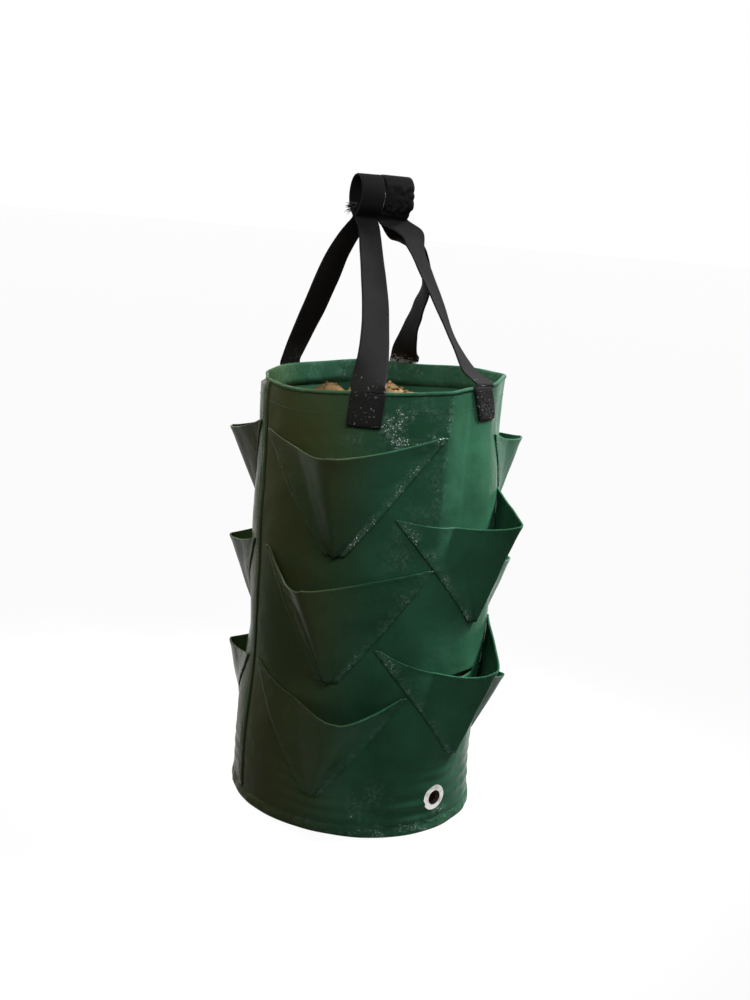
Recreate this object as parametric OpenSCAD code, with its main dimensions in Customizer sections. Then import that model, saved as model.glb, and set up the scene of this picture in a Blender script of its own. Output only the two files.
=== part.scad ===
// Hanging strawberry grow bag: a filled, sewn tube with thirteen planting pockets and two carrying straps.
// The bag stands on z = 0 with its axis on Z. Its front is -Y, and azimuths run from -Y towards +X.

/* [Bag] */
// Outer diameter of the filled bag
bag_d = 198; // [180:1:240]
// Height of the wall on the axis
bag_h = 350; // [345:1:420]
// Thickness of the laminated fabric wall
wall_t = 1; // [0.8:0.1:1.4]
// Slope of the rim of the slumped bag, in degrees
rim_tilt = 3.1; // [0:0.1:5]
// Azimuth towards which the rim rises
rim_rise_az = 69; // [0:1:180]

/* [Base] */
// Thickness of the round base panel
base_t = 1.2; // [0.8:0.1:2]
// Height of the binding sewn round the base
binding_h = 9; // [6:0.5:12]
// Thickness of the binding
binding_t = 1.1; // [0.6:0.1:1.6]

/* [Rim hem] */
// Height of the hem turned in at the rim
hem_h = 18; // [10:1:22]
// Thickness of the turned-in layer
hem_t = 0.8; // [0.5:0.1:1.2]

/* [Side seam] */
// Azimuth of the upright seam that closes the tube
seam_az = -86; // [-88:0.5:-85]
// Width of the lapped seam
seam_w = 9; // [6:0.5:10]
// Thickness of the lapped layer
seam_t = 0.9; // [0.5:0.1:1.2]

/* [Pockets] */
// Azimuth of the first column of pockets
column_az = -38; // [-40:0.5:-37]
// Angle between columns of pockets
column_pitch = 66; // [65:0.5:66.5]
// Depth of the highest lips below the rim, in the columns of three
high_lip_drop = 36; // [34:1:40]
// Depth of the highest lips below the rim, in the columns of two
low_lip_drop = 87; // [80:1:92]
// Distance between rows in the columns of three
high_pitch = 97.5; // [95:0.5:99]
// Distance between rows in the columns of two
low_pitch = 104; // [98:1:108]
// Height of a pocket from its point to its lip
pocket_h = 95; // [80:1:97]
// Half of a pocket's width at the lip in the columns of three, in degrees round the wall
high_half_az = 40; // [30:0.5:40.5]
// Half of a pocket's width at the lip in the columns of two, in degrees round the wall
low_half_az = 34; // [26:0.5:34]
// How far a lip stands out from the wall
pocket_reach = 34; // [20:1:40]
// How far a lip hangs down at its tip
lip_droop = 8; // [0:0.5:12]
// Roundness of the fold that runs from the lip's tip to the pocket's point
fold_round = 0.28; // [0.1:0.01:0.5]
// Thickness of the pocket fabric
pocket_t = 0.8; // [0.6:0.1:1.4]
// Width of the margin sewn to the wall along a pocket's two edges
margin_w = 4.5; // [3:0.5:5]
// Width of the root slit in the wall behind each pocket
slit_w = 46; // [20:1:48]
// Height of the root slit
slit_h = 14; // [6:1:20]
// Depth of the slit's middle below the pocket's lip
slit_drop = 26; // [20:1:36]

/* [Straps] */
// Width of the webbing
strap_w = 25; // [20:1:28]
// Thickness of the webbing
strap_t = 1.5; // [1:0.1:2]
// Height of a strap end where it is sewn to the wall
anchor_h = 29; // [20:1:30]
// Azimuth of the front left strap end
front_left_az = -28.5; // [-32:0.5:-26]
// Azimuth of the front right strap end
front_right_az = 29; // [26:0.5:32]
// Azimuth of the back right strap end
back_right_az = 152; // [148:0.5:155]
// Azimuth of the back left strap end
back_left_az = -145; // [-150:0.5:-142]

/* [Hanging eye] */
// Inner radius of the eye that the straps form at the top
eye_r = 14; // [12:0.5:16]
// Height of the eye's centre above the rim
eye_rise = 138.5; // [130:0.5:160]
// Place along X of the gap between the two straps in the eye
eye_split_x = -17; // [-22:0.5:-12]
// Gap between the two straps in the eye
eye_gap = 0.6; // [0.4:0.1:2]

/* [Drain eyelets] */
// Azimuth of the front eyelet; the back one is opposite
eyelet_az = 20.4; // [15:0.1:25]
// Height of the eyelets' centres
eyelet_z = 28; // [24:1:34]
// Diameter of the hole through an eyelet
eyelet_hole_d = 12; // [8:0.5:13]
// Diameter of an eyelet's outer flange
eyelet_flange_d = 21; // [18:0.5:24]
// Thickness of the metal
eyelet_t = 0.8; // [0.6:0.1:1]

/* [Growing medium] */
// Depth of the medium's top below the rim
fill_drop = 26; // [24:1:40]
// Height of the largest clumps on the medium
clump_h = 11; // [4:1:14]

/* [Stitching] */
// Width of a line of stitches
thread_w = 0.9; // [0.5:0.1:1.5]
// Height of a line of stitches above the cloth
thread_h = 0.4; // [0.2:0.1:0.6]
// Distance of a line of stitches from the edge of its piece
stitch_inset = 3; // [2:0.5:4]

/* [Hidden] */

bag_r = bag_d / 2;
wall_in_r = bag_r - wall_t;
// Clearance between cloth layers that lie on each other
lay = 0.25;
// Extra length by which a cutter passes the face that it cuts
over = 1;
// Radius that every cutter reaches past
reach_r = 1.3 * bag_r;
// Height to which upright cloth is drawn before the slope of the rim cuts it
uncut_z = bag_h + reach_r * tan(rim_tilt) + over;

// Green laminate, black webbing, nickel and brown coir
cloth = [0.03, 0.22, 0.12];
webbing = [0.06, 0.06, 0.065];
nickel = [0.75, 0.75, 0.73];
coir = [0.42, 0.3, 0.18];
thread = [0.1, 0.33, 0.2];

// A point at an azimuth, a radius and a height
function at(az, r, z) = [r * sin(az), -r * cos(az), z];
// Height of the sloping rim over a point of the plan
function rim_z(x, y) = bag_h + (x * sin(rim_rise_az) - y * cos(rim_rise_az)) * tan(rim_tilt);
function unit(v) = v / norm(v);
function mix(a, b, t) = a + (b - a) * t;

// A tube between two radii and two heights
module ring(r_in, r_out, z0, z1) {
    difference() {
        translate([0, 0, z0]) cylinder(r = r_out, h = z1 - z0, $fn = 180);
        translate([0, 0, z0 - over]) cylinder(r = r_in, h = z1 - z0 + 2 * over, $fn = 180);
    }
}

// The slab between two planes parallel to the rim, measured down from it
module rim_slab(top, bottom) {
    translate([0, 0, bag_h]) rotate([0, 0, rim_rise_az]) rotate([-rim_tilt, 0, 0])
        translate([-2 * reach_r, -2 * reach_r, -bottom])
            cube([4 * reach_r, 4 * reach_r, bottom - top]);
}

// Everything over the rim
module over_rim() {
    rim_slab(-2 * bag_h, 0);
}

// An upright block that reaches out through the wall at an azimuth
module wall_block(az, w, z0, z1) {
    rotate([0, 0, az]) translate([-w / 2, -reach_r, z0]) cube([w, reach_r - bag_r / 2, z1 - z0]);
}

// A rod along the radius at an azimuth and a height, from one radius out to another
module radial_rod(az, z, d, r0, r1) {
    rotate([0, 0, az]) translate([0, -r0, z]) rotate([90, 0, 0]) cylinder(d = d, h = r1 - r0, $fn = 64);
}

// Bag body

// A lens-shaped slit, cut through the wall where two upright arcs cross
module root_slit(az, z) {
    arc_r = (slit_w * slit_w + slit_h * slit_h) / (4 * slit_h);
    intersection() {
        radial_rod(az, z + arc_r - slit_h / 2, 2 * arc_r, bag_r / 2, reach_r);
        radial_rod(az, z - arc_r + slit_h / 2, 2 * arc_r, bag_r / 2, reach_r);
    }
}

module bag_wall() {
    color(cloth) difference() {
        ring(wall_in_r, bag_r, 0, uncut_z);
        over_rim();
        for (c = [0 : len(columns) - 1])
            for (row = [0 : rows(c) - 1])
                root_slit(column_at(c), lip_at(c, row) - slit_drop);
        for (az = eyelet_azimuths)
            radial_rod(az, eyelet_z, eyelet_hole_d + 2 * eyelet_t + 2 * lay, bag_r / 2, reach_r);
    }
}

module base_panel() {
    color(cloth) cylinder(r = wall_in_r - lay, h = base_t, $fn = 180);
}

module base_binding() {
    color(cloth) ring(bag_r + lay, bag_r + lay + binding_t, 0, binding_h);
}

module rim_hem() {
    color(cloth) intersection() {
        ring(wall_in_r - lay - hem_t, wall_in_r - lay, bag_h - 2 * hem_h, uncut_z);
        rim_slab(0, hem_h);
    }
}

// The line of stitches that holds the hem, stopped at the side seam
module rim_stitching() {
    color(thread) difference() {
        intersection() {
            ring(bag_r, bag_r + thread_h, bag_h - 2 * hem_h, uncut_z);
            rim_slab(hem_h - stitch_inset - thread_w, hem_h - stitch_inset);
        }
        wall_block(seam_az, seam_w + 2 * lay, 0, 2 * bag_h);
    }
}

module side_seam() {
    color(cloth) difference() {
        intersection() {
            ring(bag_r + lay, bag_r + lay + seam_t, binding_h + lay, uncut_z);
            wall_block(seam_az, seam_w, 0, 2 * bag_h);
        }
        over_rim();
    }
}

// Two lines of stitches along the lapped seam
module side_seam_stitching() {
    seam_out = bag_r + lay + seam_t;
    color(thread) difference() {
        intersection() {
            ring(seam_out, seam_out + thread_h, binding_h + stitch_inset, uncut_z);
            union() {
                for (side = [-1, 1])
                    rotate([0, 0, seam_az])
                        translate([side * seam_w / 4 - thread_w / 2, -reach_r, 0])
                            cube([thread_w, reach_r - bag_r / 2, 2 * bag_h]);
            }
        }
        rim_slab(-2 * bag_h, stitch_inset);
    }
}

// Pockets

// Pockets in each column, going round from the front left
columns = [3, 2, 3, 2, 3];
function column_at(c) = column_az + c * column_pitch;
function rows(c) = columns[c];
function is_high(c) = columns[c] == 3;
function lip_at(c, row) =
    bag_h - (is_high(c) ? high_lip_drop + row * high_pitch : low_lip_drop + row * low_pitch);

// How strongly a pocket's face follows one of its edges, from 0 past the fold to 1 at the edge
function follow(s) = (s + sqrt(s * s + fold_round * fold_round)) / 2;
function pull(s) = (follow(s) - follow(-1)) / (follow(1) - follow(-1));

// A pocket is swept up from its point, through these shares of its height
pocket_levels = [0.05, 0.18, 0.34, 0.5, 0.66, 0.82, 1];
// Places across a pocket from one edge to the other, closer together at the fold
pocket_places = [-1, -0.75, -0.5, -0.3, -0.16, 0, 0.16, 0.3, 0.5, 0.75, 1];

// One point of a pocket's face, at share t of its height and place s across it, lifted by g
function face_point(half, lip_z, t, s, g) =
    let (edge_r = bag_r + lay + g,
        left = at(-half * t, edge_r, 0),
        right = at(half * t, edge_r, 0),
        tip = at(0, bag_r + lay + g + pocket_reach * t, -lip_droop * t))
    tip + (left - tip) * pull(-s) + (right - tip) * pull(s) + [0, 0, lip_z - pocket_h * (1 - t)];

// One row across a pocket, with the sewn margins at both ends
function pocket_row(half, lip_z, t, g) =
    let (margin_az = margin_w / bag_r * 180 / PI,
        z = lip_z - pocket_h * (1 - t),
        shrink = g < pocket_t ? 1 : 0)
    concat([at(-half * t - margin_az, bag_r + lay + g, z)],
        [for (s = pocket_places) face_point(half - shrink, lip_z, t, s, g)],
        [at(half * t + margin_az, bag_r + lay + g, z)]);

// A closed skin between an inner and an outer sheet of points, each a list of rows.
// Its triangles mirror each other about the middle of a row.
module sheet_solid(inner, outer) {
    n = len(inner[0]);
    m = len(inner);
    points = concat([for (row = inner) for (p = row) p], [for (row = outer) for (p = row) p]);
    top = n * m;
    function quad(a, b, c, d, right = false) = right ? [[a, b, d], [b, c, d]] : [[a, b, c], [a, c, d]];
    function is_right(j) = j >= (n - 1) / 2;
    faces = concat(
        [for (i = [0 : m - 2]) for (j = [0 : n - 2])
            each quad(i * n + j, (i + 1) * n + j, (i + 1) * n + j + 1, i * n + j + 1, is_right(j))],
        [for (i = [0 : m - 2]) for (j = [0 : n - 2])
            let (a = top + i * n + j, b = a + n)
            each is_right(j) ? [[a, a + 1, b], [a + 1, b + 1, b]] : [[a, a + 1, b + 1], [a, b + 1, b]]],
        [for (i = [0 : m - 2]) each quad(i * n, top + i * n, top + (i + 1) * n, (i + 1) * n)],
        [for (i = [0 : m - 2])
            each quad(i * n + n - 1, (i + 1) * n + n - 1, top + (i + 1) * n + n - 1, top + i * n + n - 1)],
        [for (j = [0 : n - 2]) each quad(j, j + 1, top + j + 1, top + j)],
        [for (j = [0 : n - 2])
            let (a = (m - 1) * n + j)
            each quad(a, top + a, top + a + 1, a + 1)]);
    polyhedron(points = points, faces = faces);
}

// One sewn pocket: two flat faces meeting in a soft fold, open at the lip
module pocket(c, row) {
    half = is_high(c) ? high_half_az : low_half_az;
    lip_z = lip_at(c, row);
    color(cloth) rotate([0, 0, column_at(c)])
        sheet_solid([for (t = pocket_levels) pocket_row(half, lip_z, t, 0)],
            [for (t = pocket_levels) pocket_row(half, lip_z, t, pocket_t)]);
}

// Strap ends sewn to the wall

strap_end_r = bag_r + thread_h + lay;
function half_strap_az() = strap_w / 2 / strap_end_r * 180 / PI;

// The doubled end of a strap, hanging down the wall from the rim
module strap_end(az) {
    color(webbing) intersection() {
        ring(strap_end_r, strap_end_r + strap_t, bag_h - 2 * anchor_h, uncut_z);
        wall_block(az, strap_w, 0, 2 * bag_h);
        rim_slab(0, anchor_h);
    }
}

// A sewn square with a cross in it, on the outside of a strap end
module strap_end_stitching(az) {
    w = strap_w - 2 * stitch_inset;
    h = anchor_h - 2 * stitch_inset;
    low = rim_z(at(az, bag_r, 0)[0], at(az, bag_r, 0)[1]) - anchor_h + stitch_inset;
    lean = atan2(w, h);
    color(thread) intersection() {
        ring(strap_end_r + strap_t, strap_end_r + strap_t + thread_h, bag_h - 2 * anchor_h, uncut_z);
        rotate([0, 0, az]) translate([0, -bag_r / 2, low + h / 2]) rotate([90, 0, 0])
            linear_extrude(height = bag_r) {
                difference() {
                    square([w, h], center = true);
                    square([w - 2 * thread_w, h - 2 * thread_w], center = true);
                }
                for (turn = [-lean, lean])
                    rotate(turn) square([thread_w, norm([w, h]) - 2 * thread_w], center = true);
            }
    }
}

// Handles

eye_z = bag_h + eye_rise;
eye_mid_r = eye_r + strap_t / 2;
// The eye closes to this angle from its top, on each side
eye_close = 146;
left_eye_x = eye_split_x - eye_gap / 2 - strap_w / 2;
right_eye_x = eye_split_x + eye_gap / 2 + strap_w / 2;
// Gap between a handle's lower edge and the rim
rim_gap = 0.5;

// Routes of the four legs, from the neck under the eye to the rim. Each point has its share of the way
// along X, away from the middle plane and downwards, and the turn of the webbing about Z.
front_left_route = [[0.01, 0.07, 0.065, 0], [0.09, 0.235, 0.22, 0], [0.2, 0.49, 0.47, 0],
    [0.4, 0.69, 0.665, -4], [0.7, 0.87, 0.83, -14]];
back_left_route = [[0.1, 0.1, 0.055, 2], [0.205, 0.215, 0.12, 4], [0.37, 0.355, 0.245, 8],
    [0.5, 0.49, 0.395, 13], [0.67, 0.67, 0.6, 20], [0.86, 0.86, 0.81, 29]];
front_right_route = [[0.06, 0.07, 0.07, 8], [0.19, 0.21, 0.19, 40], [0.3, 0.3, 0.31, 45],
    [0.465, 0.442, 0.515, 52], [0.626, 0.6, 0.72, 61], [0.83, 0.81, 0.895, 44]];
back_right_route = [[0.06, 0.08, 0.075, -6], [0.505, 0.204, 0.175, -79], [0.761, 0.326, 0.31, -93],
    [0.893, 0.465, 0.45, -100], [0.914, 0.629, 0.595, -92], [0.916, 0.748, 0.72, -87],
    [0.947, 0.891, 0.875, -66]];

// A smooth path through points, in a few steps per span
route_steps = 4;
function spline(a, b, c, d, t) =
    0.5 * (2 * b + (c - a) * t + (2 * a - 5 * b + 4 * c - d) * t * t + (3 * b - a - 3 * c + d) * t * t * t);
function smooth_path(p) = [for (i = [1 : len(p) - 3]) for (k = [0 : route_steps - 1])
    spline(p[i - 1], p[i], p[i + 1], p[i + 2], k / route_steps), p[len(p) - 2]];

// The eye's own curve at an angle from its top, as a route point
function eye_point(x, angle) = [x, eye_mid_r * sin(angle), eye_rise + eye_mid_r * cos(angle), 0];

// The neck under the eye, where a front and a back leg come closest
neck_half_gap = 3;
neck_drop = 2.8;
function neck_point(x) = [x, neck_half_gap, eye_rise - eye_mid_r - neck_drop, 0];

// The middle of the webbing just over its sewn end, leaning in a little as it rises
foot_lean = 0.45;
foot_rise = 5;
function foot_point(az, up) = let (p = at(az, strap_end_r + strap_t / 2, 0))
    [p[0], abs(p[1]) - up * foot_lean, up + rim_z(p[0], p[1]) - bag_h,
        abs(az) < 90 ? az : az > 0 ? az - 180 : az + 180];

// A route given in shares, as places
function route_points(x, az, route) = let (a = neck_point(x), b = foot_point(az, rim_gap))
    [for (q = route) [mix(a[0], b[0], q[0]), mix(a[1], b[1], q[1]), mix(a[2], b[2], q[2]), q[3]]];

// A whole leg, from the end of the eye's curve to the rim, with a lead-in point and a lead-out point
function leg_route(x, az, route) = concat(
    [eye_point(x, eye_close - 20), eye_point(x, eye_close), neck_point(x)],
    route_points(x, az, route),
    [foot_point(az, foot_rise), foot_point(az, rim_gap), foot_point(az, -foot_rise)]);

// The four corners of the webbing at a point of a path, square to the path
function strap_corners(p, ahead, behind, w, t) =
    let (along = unit(ahead - behind),
        flat = [cos(p[3]), sin(p[3]), 0],
        across = unit(flat - along * (flat * along)),
        out = cross(along, across))
    [for (c = [[-1, -1], [1, -1], [1, 1], [-1, 1]])
        [p[0], p[1], p[2]] + across * c[0] * w / 2 + out * c[1] * t / 2];

// The last corners of a leg, on the wall's own curve and parallel to the rim
function foot_corners(side, az, t) =
    [for (c = [[-1, -1], [1, -1], [1, 1], [-1, 1]])
        let (r = strap_end_r + strap_t / 2 + (side > 0 ? -c[1] : c[1]) * t / 2,
            turn = (side > 0 ? -c[0] : c[0]) * half_strap_az(),
            p = at(az + turn, r, 0))
        [p[0], p[1], rim_z(p[0], p[1]) + rim_gap]];

// Angle by which a leg reaches back into the eye's curve, and how much thinner it is there
root_angle = 5;
root_thinner = 0.5;

// A leg of webbing, swept along its route; side is -1 at the front and 1 at the back
module leg(side, x, az, route) {
    path = [for (p = concat([eye_point(x, eye_close - root_angle)], smooth_path(leg_route(x, az, route))))
        [p[0], side * p[1], bag_h + p[2], p[3]]];
    middle = [for (p = path) [p[0], p[1], p[2]]];
    // The last span, just over the rim, has no ring inside it, because a leaning one would cross the foot
    last = len(path) - 1 - route_steps;
    rings = concat([for (i = [0 : last])
        let (thinner = root_thinner * max(0, 1 - i / 3))
        strap_corners(path[i], middle[i + 1], middle[max(i - 1, 0)], strap_w - thinner, strap_t - thinner)],
        [foot_corners(side, az, strap_t)]);
    m = len(rings);
    faces = concat([[0, 1, 2], [0, 2, 3]],
        [for (i = [0 : m - 2]) for (k = [0 : 3])
            let (a = 4 * i + k, b = 4 * i + (k + 1) % 4)
            each [[a, a + 4, b + 4], [a, b + 4, b]]],
        [[4 * m - 4, 4 * m - 2, 4 * m - 3], [4 * m - 4, 4 * m - 1, 4 * m - 2]]);
    polyhedron(points = [for (r = rings) for (q = r) q], faces = faces);
}

// The round part of the eye, open underneath
module eye(x) {
    translate([x, 0, eye_z]) rotate([0, 90, 0])
        rotate([0, 0, 180 - eye_close])
            rotate_extrude(angle = 2 * eye_close, $fn = 96)
                translate([eye_r, -strap_w / 2]) square([strap_t, strap_w]);
}

module left_handle() {
    color(webbing) union() {
        eye(left_eye_x);
        leg(-1, left_eye_x, front_left_az, front_left_route);
        leg(1, left_eye_x, back_left_az, back_left_route);
    }
}

module right_handle() {
    color(webbing) union() {
        eye(right_eye_x);
        leg(-1, right_eye_x, front_right_az, front_right_route);
        leg(1, right_eye_x, back_right_az, back_right_route);
    }
}

// The cut end of the webbing, standing out at the left of the eye as loose yarns
module frayed_webbing_end() {
    yarn_d = 1.2;
    yarn_az = yarn_d * 0.8 / eye_mid_r * 180 / PI;
    color(webbing)
        translate([left_eye_x - strap_w / 2 - lay, 0, eye_z])
            for (i = [-2 : 2])
                rotate([125 + i * yarn_az, 0, 0]) translate([0, 0, eye_mid_r])
                    rotate([0, 0, 9 * i]) rotate([0, -90, 0])
                        cylinder(d = yarn_d, h = 5 + abs(i % 2) * 3, $fn = 16);
}

// Drain eyelets

eyelet_azimuths = [eyelet_az, eyelet_az + 180];
barrel_r = eyelet_hole_d / 2 + eyelet_t;
flange_r = eyelet_flange_d / 2;
// A flat washer behind the curved wall stands off it by the depth of the curve
washer_r = flange_r - 1;
washer_face = sqrt(wall_in_r * wall_in_r - washer_r * washer_r) - lay;
barrel_end = washer_face - 2 * eyelet_t - lay;

// The barrel and its flange in one, with a rolled edge round the mouth
module drain_eyelet(az) {
    flange_face = bag_r + lay;
    color(nickel) rotate([0, 0, az]) translate([0, 0, eyelet_z]) rotate([90, 0, 0])
        rotate_extrude($fn = 96) polygon([
            [eyelet_hole_d / 2, barrel_end],
            [barrel_r, barrel_end],
            [barrel_r, flange_face],
            [flange_r, flange_face],
            [flange_r, flange_face + eyelet_t / 2],
            [flange_r - 1, flange_face + eyelet_t],
            [barrel_r + 1, flange_face + 1.6 * eyelet_t],
            [eyelet_hole_d / 2, flange_face + 1.2 * eyelet_t]]);
}

module eyelet_washer(az) {
    color(nickel) difference() {
        radial_rod(az, eyelet_z, 2 * washer_r, washer_face - eyelet_t, washer_face);
        radial_rod(az, eyelet_z, 2 * barrel_r + 0.1, washer_face - eyelet_t - over, washer_face + over);
    }
}

// Growing medium

fill_z = bag_h - fill_drop;
fill_r = wall_in_r - lay;
// Clumps on the medium, each an azimuth, a share of the way out to the wall and a share of clump_h
clumps = [[-150, 0.8, 1], [-128, 0.48, 0.7], [-165, 1, 0.8], [176, 0.84, 0.9], [158, 1, 1],
    [140, 0.73, 0.75], [120, 0.95, 0.7], [95, 0.73, 0.6], [70, 0.48, 0.75], [40, 0.76, 0.55],
    [5, 0.36, 0.7], [-20, 0.72, 0.6],
    [-60, 0.58, 0.7], [-90, 0.9, 0.8], [-112, 0.96, 0.65], [180, 0.24, 0.8]];

module growing_medium() {
    color(coir) difference() {
        union() {
            translate([0, 0, base_t + lay]) cylinder(r = fill_r, h = fill_z - base_t - lay, $fn = 180);
            for (c = clumps) {
                clump_r = clump_h * c[2] * 1.9;
                translate(at(c[0], c[1] * (fill_r - clump_r), fill_z + clump_h * c[2] - clump_r))
                    sphere(r = clump_r, $fn = 32);
            }
        }
        for (az = eyelet_azimuths)
            radial_rod(az, eyelet_z, 2 * washer_r + 2, barrel_end - 1, bag_r + over);
    }
}

bag_wall();
base_panel();
base_binding();
rim_hem();
rim_stitching();
side_seam();
side_seam_stitching();
pocket(0, 0);  // front_left_pocket_top
pocket(0, 1);  // front_left_pocket_middle
pocket(0, 2);  // front_left_pocket_bottom
pocket(1, 0);  // front_right_pocket_upper
pocket(1, 1);  // front_right_pocket_lower
pocket(2, 0);  // right_pocket_top
pocket(2, 1);  // right_pocket_middle
pocket(2, 2);  // right_pocket_bottom
pocket(3, 0);  // back_right_pocket_upper
pocket(3, 1);  // back_right_pocket_lower
pocket(4, 0);  // back_left_pocket_top
pocket(4, 1);  // back_left_pocket_middle
pocket(4, 2);  // back_left_pocket_bottom
strap_end(front_left_az);  // front_left_strap_end
strap_end(front_right_az);  // front_right_strap_end
strap_end(back_right_az);  // back_right_strap_end
strap_end(back_left_az);  // back_left_strap_end
strap_end_stitching(front_left_az);  // front_left_strap_stitching
strap_end_stitching(front_right_az);  // front_right_strap_stitching
strap_end_stitching(back_right_az);  // back_right_strap_stitching
strap_end_stitching(back_left_az);  // back_left_strap_stitching
left_handle();
right_handle();
frayed_webbing_end();
drain_eyelet(eyelet_azimuths[0]);  // front_drain_eyelet
eyelet_washer(eyelet_azimuths[0]);  // front_eyelet_washer
drain_eyelet(eyelet_azimuths[1]);  // back_drain_eyelet
eyelet_washer(eyelet_azimuths[1]);  // back_eyelet_washer
growing_medium();
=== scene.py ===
# Hanging strawberry grow bag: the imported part, dressed as laminated cloth, webbing, coir and nickel.
# Lengths are in metres, angles in degrees, and azimuths run from the front, -Y, towards +X.
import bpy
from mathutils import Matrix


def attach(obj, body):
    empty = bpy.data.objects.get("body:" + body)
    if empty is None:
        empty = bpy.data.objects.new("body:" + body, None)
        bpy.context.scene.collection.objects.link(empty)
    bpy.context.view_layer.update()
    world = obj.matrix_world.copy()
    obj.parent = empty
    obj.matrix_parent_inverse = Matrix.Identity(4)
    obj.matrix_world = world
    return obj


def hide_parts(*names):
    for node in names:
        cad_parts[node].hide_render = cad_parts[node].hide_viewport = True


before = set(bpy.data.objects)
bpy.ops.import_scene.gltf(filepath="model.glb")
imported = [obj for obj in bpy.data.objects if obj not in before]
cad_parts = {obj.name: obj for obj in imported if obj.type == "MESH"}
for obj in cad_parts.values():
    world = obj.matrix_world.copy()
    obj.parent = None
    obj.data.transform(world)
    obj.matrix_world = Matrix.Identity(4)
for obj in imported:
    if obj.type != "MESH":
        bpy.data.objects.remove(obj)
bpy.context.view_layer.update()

import math

import bpy
import numpy as np
from mathutils import Matrix, Vector, noise

scene = bpy.context.scene

# Camera
# The photograph was taken from about a metre away and a little above the rim, looking down at the bag,
# which hangs a little askew in the frame.
camera = bpy.data.objects.new("camera", bpy.data.cameras.new("camera"))
scene.collection.objects.link(camera)
scene.camera = camera
camera.data.lens, camera.data.clip_start = 45.15, 0.05
stand = Vector((-0.35756, -0.93149, 0.47197))
ahead = Vector((0.34814, 0.91154, -0.21886)).normalized()
upward = Vector((-0.00543, 0.23542, 0.97188)).normalized()
rightward = ahead.cross(upward)
camera.matrix_world = Matrix.Translation(stand) @ Matrix((rightward, upward, -ahead)).transposed().to_4x4()


# Laminated cloth
# Woven strips of green plastic between two clear films: smooth, faintly ribbed, tinted olive at the left as a
# painted warm reflection, and full of fine creases where it has been sewn or crushed. The crushed film is paler,
# partly as a painted sheen, and carries white dots that are painted glints.
strip_w = 0.0023
weave_h, rumple_h, crease_h = 0.00002, 0.0008, 0.0010
olive_from, olive_to = -0.025, -0.09
# The pale film colour is partly crushed film and partly a painted sheen; the white is for painted glints.
pale_film_and_sheen, painted_glint_white = (0.105, 0.165, 0.14), (0.68, 0.75, 0.73)


class Signal:
    """One socket of a material's nodes. Sums, differences and products of signals add Math nodes."""

    def __init__(self, tree, socket=None):
        self.tree, self.socket = tree, socket

    def add(self, kind, settings=(), inputs=(), out=0):
        node = self.tree.nodes.new("ShaderNode" + kind)
        for key, value in dict(settings).items():
            setattr(node, key, value)
        for key, value in dict(inputs).items():
            if isinstance(value, Signal):
                self.tree.links.new(value.socket, node.inputs[key])
            else:
                node.inputs[key].default_value = value
        return Signal(self.tree, node.outputs[out])

    def sum_of(self, operation, *values):
        return self.add("Math", {"operation": operation}, dict(enumerate(values)))

    def __add__(self, other):
        return self.sum_of("ADD", self, other)

    def __sub__(self, other):
        return self.sum_of("SUBTRACT", self, other)

    def __rsub__(self, other):
        return self.sum_of("SUBTRACT", other, self)

    def __mul__(self, other):
        return self.sum_of("MULTIPLY", self, other)

    __radd__, __rmul__ = __add__, __mul__

    def limited(self):
        return self.add("Clamp", (), {0: self})

    def ramp(self, low, high, to_low=0.0, to_high=1.0):
        return self.add("MapRange", {"interpolation_type": "SMOOTHSTEP"},
                        {0: self, 1: low, 2: high, 3: to_low, 4: to_high})

    def colours(self, first, second):
        """A mix of two colours, each a signal or three numbers."""
        ends = [end if isinstance(end, Signal) else (*end, 1) for end in (first, second)]
        return self.add("Mix", {"data_type": "RGBA"}, {0: self, 6: ends[0], 7: ends[1]}, 2)

    def axis(self, number):
        return self.add("SeparateXYZ", (), {0: self}, number)

    def noise(self, grains, detail, roughness=0.5):
        """Soft noise with so many grains to the metre."""
        return self.add("TexNoise", (), {"Vector": self, "Scale": grains, "Detail": detail, "Roughness": roughness})

    def cells(self, grains, out=0):
        """Cells, as many to the metre: the distance from each one's middle, or its own random colour."""
        return self.add("TexVoronoi", {"feature": "F1"}, {"Vector": self, "Scale": grains, "Randomness": 1.0}, out)

    def bump(self, strength, distance):
        return self.add("Bump", (), {"Strength": strength, "Distance": distance, "Height": self})


def new_material(name, **constants):
    """A material with a Principled shader, and the signal that starts its nodes."""
    material = bpy.data.materials.new(name)
    material.use_nodes = True
    shader = material.node_tree.nodes["Principled BSDF"]
    for key, value in constants.items():
        shader.inputs[key.replace("_", " ")].default_value = value
    return material, shader, Signal(material.node_tree)


def connect(shader, **signals):
    for key, signal in signals.items():
        signal.tree.links.new(signal.socket, shader.inputs[key.replace("_", " ")])


def mix_in(material, factor, second):
    """Mixes a second shader into the material's own."""
    nodes = material.node_tree.nodes
    first = Signal(material.node_tree, nodes["Principled BSDF"].outputs[0])
    mixed = first.add("MixShader", (), {0: factor, 1: first, 2: second})
    material.node_tree.links.new(mixed.socket, nodes["Material Output"].inputs["Surface"])


def cloth_signals(start):
    """A mesh's place on the flat cloth, in metres, and how crushed its film is, from 0 to 1."""
    return [start.add("Attribute", {"attribute_name": name}, (), out)
            for name, out in (("cloth", 1), ("crease", 2))]


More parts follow.
